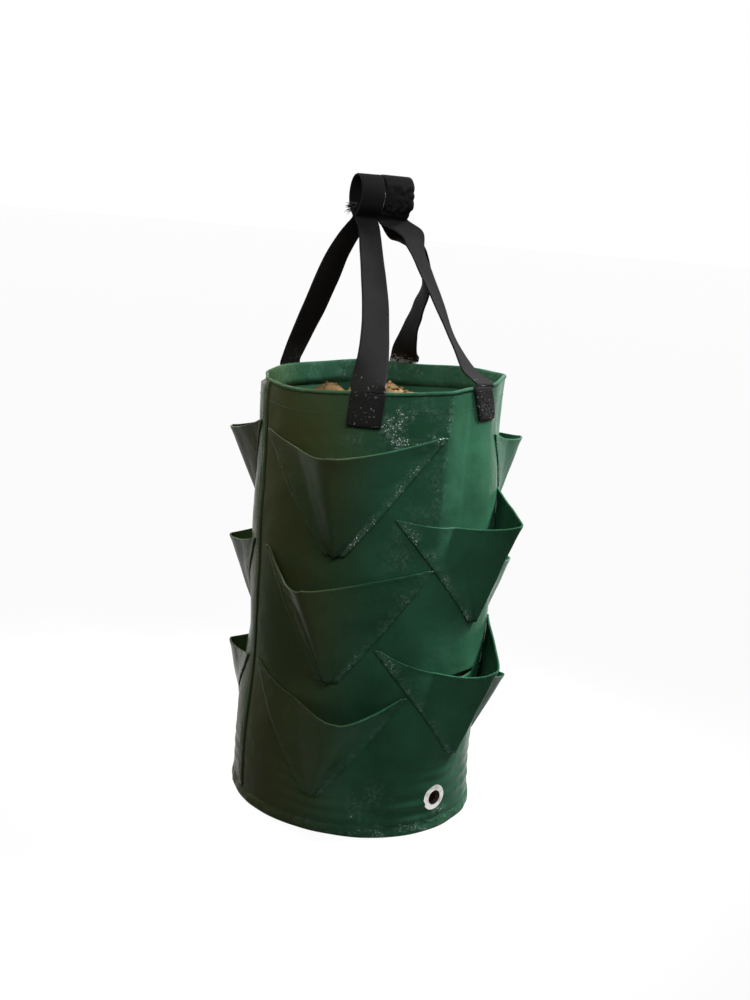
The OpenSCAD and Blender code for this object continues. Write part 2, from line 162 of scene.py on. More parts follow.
def laminate(name, dark, light, olive, gloss):
    """Green laminated cloth. The crushed film is paler, partly as a painted sheen, with white dots that are painted
    glints; the left side is tinted olive as a painted warm reflection.
    """
    material, shader, start = new_material(name, Specular_IOR_Level=0.012, IOR=1.5)
    cloth, crease = cloth_signals(start)
    strips = 2 * math.pi / strip_w
    weave = start.sum_of("SINE", cloth.axis(0) * strips) * start.sum_of("SINE", cloth.axis(1) * strips)
    cloud, rumple, smudge = cloth.noise(9.0, 3.0, 0.6), cloth.noise(60.0, 4.0, 0.55), cloth.noise(300.0, 3.0, 0.7)
    film = (crease * rumple.ramp(0.36, 0.6)).limited()
    green = cloud.ramp(0.36, 0.66).colours(dark, light)
    # Painted warm reflection: the colour turns olive towards the left, -X, whatever the lighting.
    painted_warm_reflection = start.add("NewGeometry").axis(0).ramp(olive_to, olive_from, 1.0, 0.0)
    painted_warm_reflection = painted_warm_reflection * (cloud.ramp(0.38, 0.55) * 0.3 + 0.7)
    # The paler crushed film here is partly real whitening of the film and partly a painted sheen.
    worn = film * smudge.ramp(0.4, 0.66) * 0.7 + weave * 0.03 + 0.03
    colour = worn.limited().colours(painted_warm_reflection.colours(green, olive), pale_film_and_sheen)
    # Painted glints: sparse white dots in the colour of the crushed film, standing in for sparkles of light.
    glint_cell, chance = cloth.cells(950.0), cloth.cells(950.0, 1).axis(0)
    painted_glints = (film * film * 0.6 + 0.0005 - chance).ramp(0.0, 0.3) * glint_cell.ramp(0.18, 0.52, 1.0, 0.0)
    height = weave * weave_h + rumple * rumple_h + film * cloth.cells(170.0) * crease_h
    connect(shader, Base_Color=painted_glints.colours(colour, painted_glint_white),
            Roughness=(gloss + rumple * 0.12 + weave * 0.015).limited(), Normal=height.bump(0.9, 1.0))
    return material


outside = laminate("green_laminate", (0.013, 0.056, 0.028), (0.023, 0.094, 0.05), (0.044, 0.051, 0.018), gloss=0.16)
inside = laminate("green_laminate_inside", (0.017, 0.07, 0.038), (0.035, 0.112, 0.066), (0.045, 0.09, 0.035),
                  gloss=0.3)


# Wall
# A tube of the cloth, stitched shut at the left and filled with coir. The filling rounds it out below, its
# rim stands in flat lengths between soft corners, and it has a slit for roots behind each pocket.
bag_r, bag_h, wall_t = 0.099, 0.350, 0.001
rim_rise_az, rim_tilt, rim_wave = 69.0, 3.1, 0.0005
seam_az = -86.0
slit_w, slit_h, slit_drop = 0.046, 0.0036, 0.0315
three_drop, three_pitch, two_drop, two_pitch = 0.036, 0.0975, 0.087, 0.104
slump, ripple = 0.0015, 0.0004
eyelet_azimuths, eyelet_z, eyelet_hole_r = (20.4, 200.4), 0.028, 0.00705
rim_shape = np.array([  # azimuth, and how far the rim stands outwards and upwards there, in millimetres
    (-150, 0, 0), (-124, -1.5, 0), (-110, 1, 0), (-85, 1.5, -0.8), (-60, 2.5, -2), (-45, 2, -1.8),
    (-28, 0.5, -0.6), (-10, 0, 0), (7, 2.2, 0.3), (26, -3.5, 1.8), (50, -6.5, 2.8), (66, -6, 2.6), (80, -1, 1.6),
    (92, 4.5, 0.5), (100, 3, 0), (128, -1.5, 0), (150, -4, -0.3), (165, -1, 0.3), (176, 2.5, 1.2)])
hollows = [  # azimuth, height, half width, half height and depth of places where the wall stands in or out
    (-104, 0.035, 32, 0.05, 0.0036), (-104, 0.135, 26, 0.035, -0.0032), (64, 0.335, 26, 0.04, -0.0030),
    (64, 0.055, 26, 0.05, -0.0034), (10, 0.10, 20, 0.05, 0.0016), (-20, 0.02, 30, 0.03, 0.0014),
    (150, 0.21, 30, 0.06, 0.0022), (-160, 0.06, 30, 0.06, 0.0022), (-60, 0.33, 14, 0.03, 0.0012)]
# The crushed film at these spots also carries the painted glints and the painted sheen.
crushed_and_glinting_spots = [  # azimuth, height, half width, half height and how far the film is crushed there
    (-12, 0.322, 8, 0.010, 2.6), (-18, 0.338, 3, 0.012, 1.2), (-3, 0.318, 4, 0.007, 1.6),
    (-3, 0.333, 9, 0.014, 0.55), (7, 0.325, 1.0, 0.03, 0.8), (-26, 0.312, 12, 0.006, 0.6),
    (4, 0.28, 6, 0.03, 0.45), (-8, 0.235, 8, 0.03, 0.5), (-12, 0.03, 9, 0.012, 0.7), (12, 0.004, 14, 0.006, 1.5),
    (-12, 0.004, 30, 0.006, 0.8), (24, 0.016, 5, 0.003, 1.6), (-20, 0.018, 3, 0.004, 1.0),
    (-100, 0.345, 18, 0.014, 0.4), (150, 0.01, 50, 0.008, 0.7)]
lap_az, lap_w, lap_depth = -104, 13, 0.0045
crease_az, crease_w, crease_rise, dip_az, dip_depth = 7, 9, 0.0016, (7, 22, 42), 0.0026
pleat_z, pleat_spread, pleat_pitch, pleat_depth, pleat_az, pleat_w = 0.032, 0.02, 0.011, 0.0017, 5, 35


def stacked(*values):
    return np.stack(np.broadcast_arrays(*values), -1)


def around(az, r, z):
    """Points at azimuths, radii and heights, which may be arrays."""
    a = np.radians(az)
    return stacked(r * np.sin(a), -r * np.cos(a), z)


def azimuth(points):
    return np.degrees(np.arctan2(points[..., 0], -points[..., 1]))


def turned(az):
    """An angle brought between -180 and 180."""
    return (np.asarray(az, float) + 180) % 360 - 180


def rim_offset(az, column):
    return sum(np.interp(turned(az + off), rim_shape[:, 0], rim_shape[:, column], period=360)
               for off in (-2, 0, 2)) / 3 * 0.001


def flat_rim_z(az):
    return bag_h + bag_r * np.cos(np.radians(az - rim_rise_az)) * math.tan(math.radians(rim_tilt))


def rim_z(az):
    return flat_rim_z(az) + (rim_wave * np.sin(np.radians(7 * az)) + rim_offset(az, 2))


def rumple(points, size, seed):
    """Smooth noise between about -1 and 1 at each point."""
    flat = np.reshape(points, (-1, 3)) / size
    return np.array([noise.noise(Vector(p) + Vector((seed, 3.1 * seed, 0)))
                     for p in flat]).reshape(np.shape(points)[:-1])


def step(x, low, high):
    t = np.clip((x - low) / (high - low), 0, 1)
    return t * t * (3 - 2 * t)


def hump(x, width):
    return np.exp(-(x / width) ** 2)


def spread_over(az, z, spots):
    """The sum of soft round spots, each with its azimuth, height, half width, half height and strength."""
    return sum(much * np.exp(-(turned(az - at_az) / wide) ** 2 - ((z - at_z) / tall) ** 2)
               for at_az, at_z, wide, tall, much in spots)


def wall_r(az, z):
    """Outer radius of the filled and slumped wall."""
    az, z = np.broadcast_arrays(turned(az), np.asarray(z, float))
    cloth = around(az, bag_r, z)
    r = bag_r + rim_offset(az, 1) * step(z, 0.2, 0.335) + spread_over(az, z, hollows)
    r = r - lap_depth * hump(az - lap_az, lap_w) * step(z - rim_z(az), -0.0068, -0.0045)
    r = r + slump * rumple(cloth * (1, 1, 0.7), 0.045, 4) + ripple * rumple(cloth, 0.016, 9)
    pleats = hump(z - pleat_z, pleat_spread) * (0.4 + rumple(cloth * (0.5, 0.5, 1), 0.03, 17))
    pleats = pleats * (0.5 + hump(az - pleat_az, pleat_w))
    r = r + pleat_depth * pleats * np.sin(z * 2 * math.pi / pleat_pitch + 2.2 * rumple(cloth, 0.05, 21))
    crease = crease_rise * np.maximum(0, 1 - np.abs(az - crease_az) / crease_w)
    return r + (crease - dip_depth * np.interp(az, dip_az, (0, 1, 0))) * step(z, 0.2, 0.29)


def skin(az, z, lift=0.0):
    return around(az, wall_r(az, z) + lift, z)


def crushed(az, z):
    """How crushed the film is over the wall: under the front strap, at the crease, the rim and the foot. It also
    sets where the painted glints and sheen go.
    """
    return np.clip(0.02 + 0.25 * hump(z - rim_z(az), 0.004) + spread_over(az, z, crushed_and_glinting_spots), 0, 1)


def keep_piece(name, vertices, faces, materials, face_slots=None, smooth=True, cloth=None, crease=None):
    """A mesh object in the part's frame, with its cloth coordinates and creases."""
    mesh = bpy.data.meshes.new(name)
    mesh.from_pydata([tuple(map(float, v)) for v in vertices], [], [tuple(map(int, f)) for f in faces])
    piece = bpy.data.objects.new(name, mesh)
    scene.collection.objects.link(piece)
    for material in materials:
        mesh.materials.append(material)
    if face_slots is not None:
        mesh.polygons.foreach_set("material_index", np.asarray(face_slots, np.int32))
    mesh.polygons.foreach_set("use_smooth", [smooth] * len(mesh.polygons))
    if cloth is not None:
        mesh.attributes.new("cloth", "FLOAT_VECTOR", "POINT").data.foreach_set(
            "vector", np.asarray(cloth, np.float32).ravel())
    if crease is not None:
        mesh.attributes.new("crease", "FLOAT", "POINT").data.foreach_set(
            "value", np.asarray(crease, np.float32).ravel())
    mesh.update()
    return piece


def grid_faces(rows, columns, spans):
    """The faces between so many rows of points, which join up where the spans are as many as the columns."""
    i, j = np.meshgrid(np.arange(rows - 1), np.arange(spans), indexing="ij")
    k = (j + 1) % columns
    return np.stack([i * columns + j, i * columns + k, (i + 1) * columns + k, (i + 1) * columns + j], -1)


def two_sided(name, front, back, materials, cloth, crease, closed=False, gone=None):
    """A cloth piece of two grids of points, rows by columns, joined all round and round every hole."""
    rows, columns = front.shape[:2]
    quads = grid_faces(rows, columns, columns if closed else columns - 1)
    if gone is not None:
        quads = quads[~gone]
    quads = quads.reshape(-1, 4)
    sides = set()
    for quad in quads:
        for a, b in zip(quad, np.roll(quad, -1)):
            if (b, a) in sides:
                sides.remove((b, a))
            else:
                sides.add((a, b))
    count = rows * columns
    edges = np.array([(b, a, a + count, b + count) for a, b in sorted(sides)])
    faces = np.concatenate([quads, quads[:, ::-1] + count, edges])
    slots = [0] * len(quads) + [min(1, len(materials) - 1)] * len(quads) + [0] * len(edges)
    vertices = np.concatenate([front.reshape(-1, 3), back.reshape(-1, 3)])
    used = np.zeros(len(vertices), bool)
    used[faces.ravel()] = True
    number = np.cumsum(used) - 1
    return keep_piece(name, vertices[used], number[faces], materials, slots,
                      cloth=np.concatenate([cloth.reshape(-1, 3)] * 2)[used],
                      crease=np.concatenate([crease.ravel()] * 2)[used])


def dress(piece, body, slot, *nodes):
    """The piece rides on its body and stands for the nodes; the slot is not used."""
    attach(piece, body)
    if nodes:
        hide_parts(*nodes)
    return piece


# The azimuth and height of each slit, below the lips of the columns of three pockets and of two.
slit_top = bag_h - slit_drop
slits = [(slit_az, slit_top - three_drop - three_pitch * k) for slit_az in (-38, 94, 226) for k in range(3)]
slits += [(slit_az, slit_top - two_drop - two_pitch * k) for slit_az in (28, 160) for k in range(2)]
wall_columns, wall_rows = 300, 152
row_gap = bag_h / wall_rows
az = seam_az + np.arange(wall_columns) * 360 / wall_columns + np.zeros((wall_rows + 1, 1))
z = np.linspace(0, 1, wall_rows + 1)[:, None] * rim_z(az)
gone = np.zeros((wall_rows, wall_columns), bool)


def cut_out(az, z, edge_of, inside_of):
    """Moves the wall's points onto a hole's edge, and takes out the faces inside."""
    az, z = edge_of(az, z)
    inner = inside_of(az, z)
    right = np.roll(inner, -1, 1)
    gone[:] |= inner[:-1] & inner[1:] & right[:-1] & right[1:]
    return az, z


arc_r = (slit_w ** 2 + slit_h ** 2) / (4 * slit_h)
for slit_az, slit_z in slits:
    def half_height(az):
        off = np.clip(np.radians(turned(az - slit_az)) * bag_r, -slit_w / 2, slit_w / 2)
        return np.sqrt(arc_r ** 2 - off ** 2) - arc_r + slit_h / 2

    def in_reach(az):
        return np.abs(turned(az - slit_az)) < math.degrees(slit_w / 2 / bag_r)

    def to_slit(az, z):
        high = half_height(az)
        close = in_reach(az) & (np.abs(np.abs(z - slit_z) - high) < 0.55 * row_gap)
        return az, np.where(close, slit_z + np.sign(z - slit_z) * high, z)

    def in_slit(az, z):
        return in_reach(az) & (np.abs(z - slit_z) <= half_height(az) + 1e-6)

    az, z = cut_out(az, z, to_slit, in_slit)

for hole_az in eyelet_azimuths:
    def from_hole(az, z):
        off = np.radians(turned(az - hole_az)) * bag_r
        return off, np.hypot(off, z - eyelet_z)

    def to_hole(az, z):
        off, far = from_hole(az, z)
        near = np.abs(far - eyelet_hole_r) < 0.62 * row_gap
        pull = np.where(near, eyelet_hole_r / np.maximum(far, 1e-6), 1)
        return (np.where(pull == 1, az, hole_az + np.degrees(off * pull / bag_r)),
                np.where(pull == 1, z, eyelet_z + (z - eyelet_z) * pull))

    def in_hole(az, z):
        return from_hole(az, z)[1] <= eyelet_hole_r + 1e-5

    az, z = cut_out(az, z, to_hole, in_hole)

wall_cloth = stacked(np.radians(az) * bag_r, z, 0)
wall = two_sided("bag_wall_cloth", skin(az, z), skin(az, z, -wall_t), [outside, inside], wall_cloth,
                 crushed(az, z), closed=True, gone=gone)
dress(wall, "bag", "laminate", "bag_wall")

# Foot
# The round base panel is cut from the same cloth and sewn to the tube. A binding is folded round the seam and
# stitched through, and it crinkles where it turns under.
ring_az = seam_az + np.arange(0, 360, 1.5)
disc_shares = np.linspace(0.04, 1, 26)[:, None]
disc_r = disc_shares * (wall_r(ring_az, 0.002) - 0.0013)
disc_top = around(ring_az, disc_r, 0.0009)
disc_low = around(ring_az, disc_r, 0.0)
swell = np.minimum(0, 0.0003 * rumple(disc_top, 0.03, 31)) * (1 - disc_shares ** 6)
disc_top[..., 2] += swell
disc_low[..., 2] += swell + 0.0003
disc_low[-1, :, 2] = 0.0
base = two_sided("base_panel_cloth", disc_low[::-1], disc_top[::-1], [outside, inside], disc_low[::-1],
                 np.full(disc_low.shape[:2], 0.2), closed=True)
dress(base, "bag", "laminate", "base_panel")

binding_profile = np.array([  # off the wall and up, from under the base to the binding's top edge
    (-0.008, 0.0001), (-0.003, 0.0001), (0.0002, 0.0002), (0.0011, 0.0007), (0.0015, 0.002), (0.0014, 0.004),
    (0.0011, 0.0062), (0.0005, 0.0084), (0.0002, 0.0092)])
profile_r, profile_z = binding_profile[:, 0][:, None], binding_profile[:, 1][:, None]
bind_az = seam_az + np.arange(0, 360, 1.0)[None, :]
frill = rumple(around(bind_az, bag_r, profile_z) * (1, 1, 1.5), 0.006, 41)
top_edge = step(profile_z, 0.004, 0.009)
profile_z = profile_z + top_edge * 0.0009 * rumple(around(bind_az, bag_r, 0.01 + 0 * profile_z), 0.012, 43)
bind_r = wall_r(bind_az, np.maximum(profile_z, 0.001)) + profile_r + 0.0008 * frill * step(profile_z, 0.0004, 0.003)
bind_out = around(bind_az, bind_r, profile_z)
upright, binding_t = profile_z > 0.0005, 0.0004
bind_in = around(bind_az, bind_r - np.where(upright, binding_t, 0.0), profile_z + np.where(upright, 0.0, binding_t))
bind_cloth = stacked(np.radians(bind_az) * bag_r, profile_z * 2, 0)
binding = two_sided("base_binding_cloth", bind_out, bind_in, [outside], bind_cloth,
                    np.clip(0.15 + 0.4 * frill + 0.6 * crushed(bind_az, profile_z), 0, 1), closed=True)
dress(binding, "bag", "laminate", "base_binding")

# Rim
# The top edge of the tube is turned in and stitched, so the rim is a soft fold with a second layer inside it.
# The cloth's inner face shows there, paler and less glossy.
hem_profile = np.array([  # off the wall and up from the rim, from the hem's raw edge inside, over the fold
    (-0.0014, -0.018), (-0.0016, -0.012), (-0.0017, -0.006), (-0.0017, -0.001), (-0.0015, 0.0001),
    (-0.0010, 0.0006), (-0.0004, 0.0007), (0.0001, 0.0004), (0.0004, -0.0003), (0.0004, -0.0016)])
hem_half_t = 0.8 * np.array([  # from the middle of the cloth to its face
    (-0.0004, 0), (-0.0004, 0), (-0.0004, 0), (-0.0004, 0.0001), (-0.0003, 0.0003),
    (-0.0001, 0.0004), (0.0001, 0.0004), (0.0003, 0.0003), (0.0004, 0), (0.0004, 0)])
hem_az = seam_az + np.arange(0, 360, 1.2)[None, :]


def hem_points(profile):
    top, off, up = rim_z(hem_az), profile[:, 0][:, None], profile[:, 1][:, None]
    return around(hem_az, wall_r(hem_az, np.minimum(top + up, top)) + off, top + up)


hem_run = np.cumsum(np.hypot(*np.diff(hem_profile, axis=0, prepend=hem_profile[:1]).T))[:, None]
hem_cloth = stacked(np.radians(hem_az) * bag_r, hem_run, 0)
# The hem's creases also carry the laminate's painted glints and sheen.
hem_crease = np.clip(0.25 + 0.7 * np.abs(rumple(hem_cloth, 0.012, 51)), 0, 1)
hem = two_sided("rim_hem_cloth", hem_points(hem_profile + hem_half_t), hem_points(hem_profile - hem_half_t),
                [inside], hem_cloth, hem_crease, closed=True)
dress(hem, "bag", "laminate", "rim_hem")

# Side seam
# The tube is closed by lapping one edge over the other at the left, which leaves a narrow upright band, held by
# two rows of stitches.
seam_half_w, seam_rise, seam_low = 0.0045, 0.0011, 0.0095
seam_rows, seam_places = 150, np.linspace(-1, 1, 11)
seam_top = rim_z(seam_az) - 0.0012
seam_z = np.linspace(seam_low, seam_top, seam_rows)[:, None]
seam_at = seam_az + np.degrees(seam_half_w / bag_r) * seam_places[None, :]
seam_face = seam_rise - 0.0004 * np.abs(seam_places) ** 6
seam_face = seam_face + 0.00025 * rumple(around(seam_at, bag_r, seam_z), 0.02, 61)
seam_cloth = stacked(np.radians(seam_at) * bag_r, seam_z, 0.5)
seam = two_sided("side_seam_cloth", skin(seam_at, seam_z, seam_face), skin(seam_at, seam_z, 0.00025), [outside],
                 seam_cloth, np.broadcast_to(0.12 + 0.1 * np.abs(seam_places), seam_cloth.shape[:2]))
dress(seam, "bag", "laminate", "side_seam")

# Thread
# Every seam is run in a twisted polyester thread, with stitches of 3 to 4 mm that sink a little into the cloth.
# The thread is green in the cloth and black in the webbing.
def thread(name, dark, light, shine):
    material, shader, start = new_material(name, Specular_IOR_Level=shine, IOR=1.5)
    twist = start.add("NewGeometry").noise(900.0, 2.0)
    connect(shader, Base_Color=twist.ramp(0.3, 0.7).colours(dark, light), Roughness=twist * 0.3 + 0.35,
            Normal=twist.bump(0.4, 0.0004))
    return material


thread_green = thread("green_thread", (0.01, 0.05, 0.026), (0.022, 0.085, 0.048), shine=0.3)
thread_black = thread("black_thread", (0.008, 0.008, 0.008), (0.03, 0.03, 0.031), shine=0.05)
fine_thread, thread_lift, stitch_rise, stitch_sink = 0.00014, 0.0002, 0.0003, 0.00012


def run_along(points):
    """The length of a line up to each of its points."""
    return np.concatenate([[0], np.cumsum(np.linalg.norm(np.diff(points, axis=0), axis=1))])


def unit(vectors):
    return vectors / np.linalg.norm(vectors, axis=-1, keepdims=True)


def sewn(name, lines, material, pitch=0.0036, wide=0.0002):
    """Stitches along lines, each given as points on the cloth and the directions away from it."""
    vertices, faces = [], []
    bend = np.linspace(0, 1, 6)
    for points, away in lines:
        run = run_along(points)
        stitches = max(1, int(run[-1] / pitch))
        for n in range(stitches):
            s = (n + 0.12 + 0.76 * bend) * run[-1] / stitches
            middle = np.stack([np.interp(s, run, points[:, c]) for c in range(3)], -1)
            out = np.stack([np.interp(s, run, away[:, c]) for c in range(3)], -1)
            side = unit(np.cross(np.gradient(middle, axis=0), out))
            middle = middle + out * (stitch_rise * np.sin(np.pi * bend)[:, None] - stitch_sink)
            swell = wide * (0.55 + 0.45 * np.sin(np.pi * bend))[:, None]
            first = len(vertices)
            for angle in np.radians(np.arange(0, 360, 60)):
                vertices.extend(middle + swell * (math.cos(angle) * side + 0.8 * math.sin(angle) * out))
            for a in range(6):
                b = (a + 1) % 6
                faces.extend((i + 6 * a, i + 6 * a + 1, i + 6 * b + 1, i + 6 * b) for i in range(first, first + 5))
            faces.append([first + 6 * a for a in range(6)])
            faces.append([first + 6 * a + 5 for a in range(5, -1, -1)])
    return keep_piece(name, vertices, faces, [material])


def outward(az):
    return around(az, 1.0, 0.0)


hem_stitch_drop = 0.0155
line_az = np.linspace(seam_az + 4, seam_az + 356, 500)
rim_line = skin(line_az, rim_z(line_az) - hem_stitch_drop, thread_lift)
rim_stitches = sewn("rim_stitches", [(rim_line, outward(line_az))], thread_green, wide=fine_thread)
dress(rim_stitches, "bag", "thread", "rim_stitching")

seam_lines = []
for side in (-1, 1):
    line_z = np.linspace(0.013, seam_top - 0.002, 240)
    place = seam_az + side * math.degrees(seam_half_w / 2 / bag_r) + 0 * line_z
    seam_lines.append((skin(place, line_z, 0.00125), outward(place)))
dress(sewn("side_seam_stitches", seam_lines, thread_green), "bag", "thread", "side_seam_stitching")

# Pockets
# Each pocket is a V of the same cloth, sewn to the tube along its two edges and open at the lip. A soft fold
# runs from the tip of the lip to the point, and the sewn edges pucker.
pocket_t, margin_w, fold_round, edge_lift, fold_lift, lip_swell = 0.0008, 0.0045, 0.12, 0.00065, 0.00125, 0.0004
belly_h, pucker_h, flutter_h, crumple_h = 0.0022, 0.0006, 0.0007, 0.0006
pockets = {
    # The azimuth and height of the left end, the right end and the point, and the lip's tip with its radius.
    # Then how far the lip sags, the face dents and the film is crushed, which also sets its painted glints and
    # sheen, at the left and at the right of the tip.
    "front_left_pocket_top": (
        (-79, 0.3085), (4.5, 0.3195), (-37.5, 0.2195), (-37, 0.133, 0.3035),
        (0.004, 0.002), (0.0035, 0), (0.2, 1)),
    "front_left_pocket_middle": (
        (-74, 0.2185), (5, 0.2175), (-36, 0.1205), (-43, 0.131, 0.2025),
        (0.008, 0.001), (0.003, 0), (0.1, 0.7)),
    "front_left_pocket_bottom": (
        (-77, 0.1225), (-2.5, 0.1165), (-39.5, 0.0275), (-29, 0.124, 0.1015),
        (0.005, 0.003), (0.003, 0.001), (0.1, 0.5)),
    "front_right_pocket_upper": (
        (-10, 0.2565), (62, 0.2695), (36, 0.1665), (36, 0.131, 0.2535),
        (0.0045, 0.001), (0.011, 0), (1, 0.2)),
    "front_right_pocket_lower": (
        (-14, 0.1545), (62, 0.1625), (31, 0.0585), (32, 0.129, 0.1375),
        (0.0095, 0.001), (0.009, 0), (0.8, 0.2)),
    "right_pocket_top": (
        (54.5, 0.315), (134, 0.313), (94, 0.219), (94, 0.129, 0.303),
        (0.003, 0.003), (0.002, 0.001), (0.4, 0.6)),
    "right_pocket_middle": (
        (55, 0.216), (134, 0.2165), (94, 0.1215), (94, 0.130, 0.197),
        (0.003, 0.003), (0.001, 0.004), (0.6, 0.4)),
    "right_pocket_bottom": (
        (56, 0.118), (133, 0.119), (92, 0.0255), (88, 0.131, 0.0945),
        (0.003, 0.003), (0.003, 0.001), (0.5, 0.5)),
    "back_right_pocket_upper": (
        (126, 0.264), (194, 0.262), (161, 0.168), (158, 0.131, 0.251),
        (0.004, 0.003), (0.004, 0.001), (0.6, 0.4)),
    "back_right_pocket_lower": (
        (126, 0.158), (194, 0.160), (159, 0.064), (163, 0.130, 0.145),
        (0.003, 0.004), (0, 0.005), (0.4, 0.7)),
    "back_left_pocket_top": (
        (187, 0.313), (266, 0.311), (227, 0.219), (232, 0.132, 0.2935),
        (0.003, 0.003), (0.003, 0), (0.5, 0.4)),
    "back_left_pocket_middle": (
        (187, 0.217), (266, 0.2155), (225, 0.1215), (230, 0.129, 0.199),
        (0.002, 0.003), (0, 0.002), (0.6, 0.3)),
    "back_left_pocket_bottom": (
        (187, 0.119), (265, 0.1175), (226, 0.0245), (226, 0.127, 0.103),
        (0.003, 0.003), (0.002, 0.001), (0.4, 0.4))}


def follow(s):
    """A share of the way across, rounded where the fold is."""
    return (s + np.sqrt(s * s + fold_round * fold_round)) / 2


def pull(s):
    return (follow(s) - follow(-1.0)) / (follow(1.0) - follow(-1.0))


def pocket_sheet(left, right, point, tip, sags, dents, crush_and_painted_glints, seed):
    """The pocket's points from its point to its lip, with the cloth's coordinates, creases and seam lines."""
    t = np.concatenate([np.linspace(0.045, 0.94, 34), np.linspace(0.955, 1, 6)])[:, None]
    s = np.linspace(-1, 1, 45)[None, :]
    u = np.abs(s)

    def sewn_edge(end):
        e_az, e_z = (point[c] + (end[c] - point[c]) * t for c in (0, 1))
        return e_az, e_z, skin(e_az, e_z, edge_lift)

    left_az, left_z, left_edge = sewn_edge(left)
    right_az, right_z, right_edge = sewn_edge(right)
    start = skin(*point, fold_lift)
    ridge = (around(*tip) - pull(0.0) * (left_edge[-1] + right_edge[-1])) / (1 - 2 * pull(0.0))
    fold = start + (ridge - start) * t[..., None]
    face = fold + (left_edge - fold) * pull(-s)[..., None] + (right_edge - fold) * pull(s)[..., None]
    face[..., 2] -= np.where(s < 0, *sags) * t ** 3 * 4 * u * (1 - u)
    out = outward(azimuth(face))
    for side, depth in zip((-1, 1), dents):
        away = pull(side * s)
        dent = depth * t * np.clip(np.minimum(away / 0.55, (1 - away) / 0.45), 0, 1) * (side * s > 0)
        face = face - out * dent[..., None]
    near_edge = hump(1 - u, 0.12)
    lip = hump(1 - t, 0.05)
    belly = belly_h * t * 4 * u * (1 - u) * rumple(stacked(s, t * 1.5, seed), 0.9, seed)
    pucker = rumple(stacked(u * 0.5, t * 14, seed + np.sign(s)), 1.0, seed + 5)
    pucker = pucker_h * near_edge * (1 - near_edge) * 4 * pucker
    flutter = flutter_h * (1 - u ** 4) * rumple(stacked(s * 3, t * 2, seed), 1.0, seed + 9)
    crumple = crumple_h * (1 - u ** 8) * t ** 0.5 * rumple(face, 0.018, seed + 11)
    face = face + out * (belly + pucker + flutter + crumple)[..., None]
    face_az, face_z = azimuth(face), face[..., 2]
    off_wall = wall_r(face_az, face_z) + edge_lift
    face = around(face_az, np.maximum(np.hypot(face[..., 0], face[..., 1]), off_wall), face_z)
    margin = math.degrees(margin_w / bag_r)
    margin_lift = edge_lift + 0.00025 * rumple(stacked(t * 30, seed, seed), 1.0, seed + 3)[..., 0][:, None]

    def sewn_margin(az, z, side):
        return [skin(az + side * margin * share, z, margin_lift * (1 - 0.3 * share) + 0.0001)[:, 0]
                for share in (0.33, 0.66, 1)[::side]]

    def seam_line(az, z, side):
        line_az = az[:, 0] + side * margin * 0.45
        return skin(line_az, z[:, 0], edge_lift + pocket_t / 2 + thread_lift), outward(az[:, 0])

    sheet = np.concatenate([np.stack(sewn_margin(left_az, left_z, -1), 1), face,
                            np.stack(sewn_margin(right_az, right_z, 1), 1)], 1)
    run = np.cumsum(np.linalg.norm(np.diff(sheet, axis=1, prepend=sheet[:, :1]), axis=2), 1)
    cloth = stacked(run - run[:, sheet.shape[1] // 2, None], sheet[..., 2], seed)
    sewn_part = np.concatenate([[1, 1, 1], near_edge[0], [1, 1, 1]])
    sides = crush_and_painted_glints[0] + (crush_and_painted_glints[1] - crush_and_painted_glints[0]) * step(np.linspace(-1, 1, sheet.shape[1]), -0.3, 0.3)
    at_point = hump(t, 0.14)
    crease = np.clip(0.05 + (0.75 * sewn_part + 0.35 * at_point) * sides + 0.1 * lip, 0, 1)
    return sheet, cloth, crease, [seam_line(left_az, left_z, -1), seam_line(right_az, right_z, 1)], lip


def faces_out(grid):
    return unit(np.cross(np.gradient(grid, axis=1), np.gradient(grid, axis=0)))


pocket_seams = []
for seed, (name, shape) in enumerate(pockets.items(), 1):
    sheet, cloth, crease, seams, lip = pocket_sheet(*shape, seed)
    half = (pocket_t / 2 + lip_swell * lip)[..., None] * faces_out(sheet)
    piece = two_sided(name + "_cloth", sheet + half, sheet - half, [outside, inside], cloth, crease)
    dress(piece, "bag", "laminate", name)
    pocket_seams += seams
dress(sewn("pocket_stitches", pocket_seams, thread_green, 0.0038, fine_thread), "bag", "thread")

# Webbing
# The straps are 25 mm polypropylene webbing, ribbed lengthwise, with a firmer selvedge at both edges. It is
# matt and dusty, and paler where it is creased, with pale specks there that are painted glints.
strap_w, strap_t, rib_w = 0.025, 0.0015, 0.0024
pick_w = rib_w / 0.9
strap_r = bag_r + 0.00065 + strap_t / 2


def webbing(name, dark, light, specks):
    """Ribbed webbing, matt and dusty, with pale specks where it is creased that are painted glints."""
    material, shader, start = new_material(name, Specular_IOR_Level=0.01, IOR=1.5)
    cloth, crease = cloth_signals(start)
    ribs = start.sum_of("SINE", cloth.axis(0) * (2 * math.pi / rib_w))
    picks = start.sum_of("SINE", cloth.axis(1) * (2 * math.pi / pick_w) + ribs * 1.6)
    fuzz, worn = cloth.noise(1600.0, 3.0), cloth.noise(45.0, 4.0, 0.6).ramp(0.35, 0.7)
    # Painted glints: pale specks where the webbing is creased; the handles also feed painted highlights and sheen
    # in here.
    painted_shine = ((cloth.noise(420.0, 1.0) + crease * 0.2).ramp(0.79, 0.87) * crease).limited()
    tone = (ribs * 0.02 + picks * 0.02 + fuzz * 0.25 + worn * 0.15 + crease * 0.6).limited().colours(dark, light)
    height = (ribs + picks) * 0.00001 + fuzz * 0.00006 + crease * cloth.cells(600.0) * 0.0002
    connect(shader, Base_Color=(painted_shine * specks).colours(tone, (0.42, 0.43, 0.43)),
            Roughness=(0.62 - painted_shine * 0.42).limited(), Normal=height.bump(0.9, 1.0))
    return material


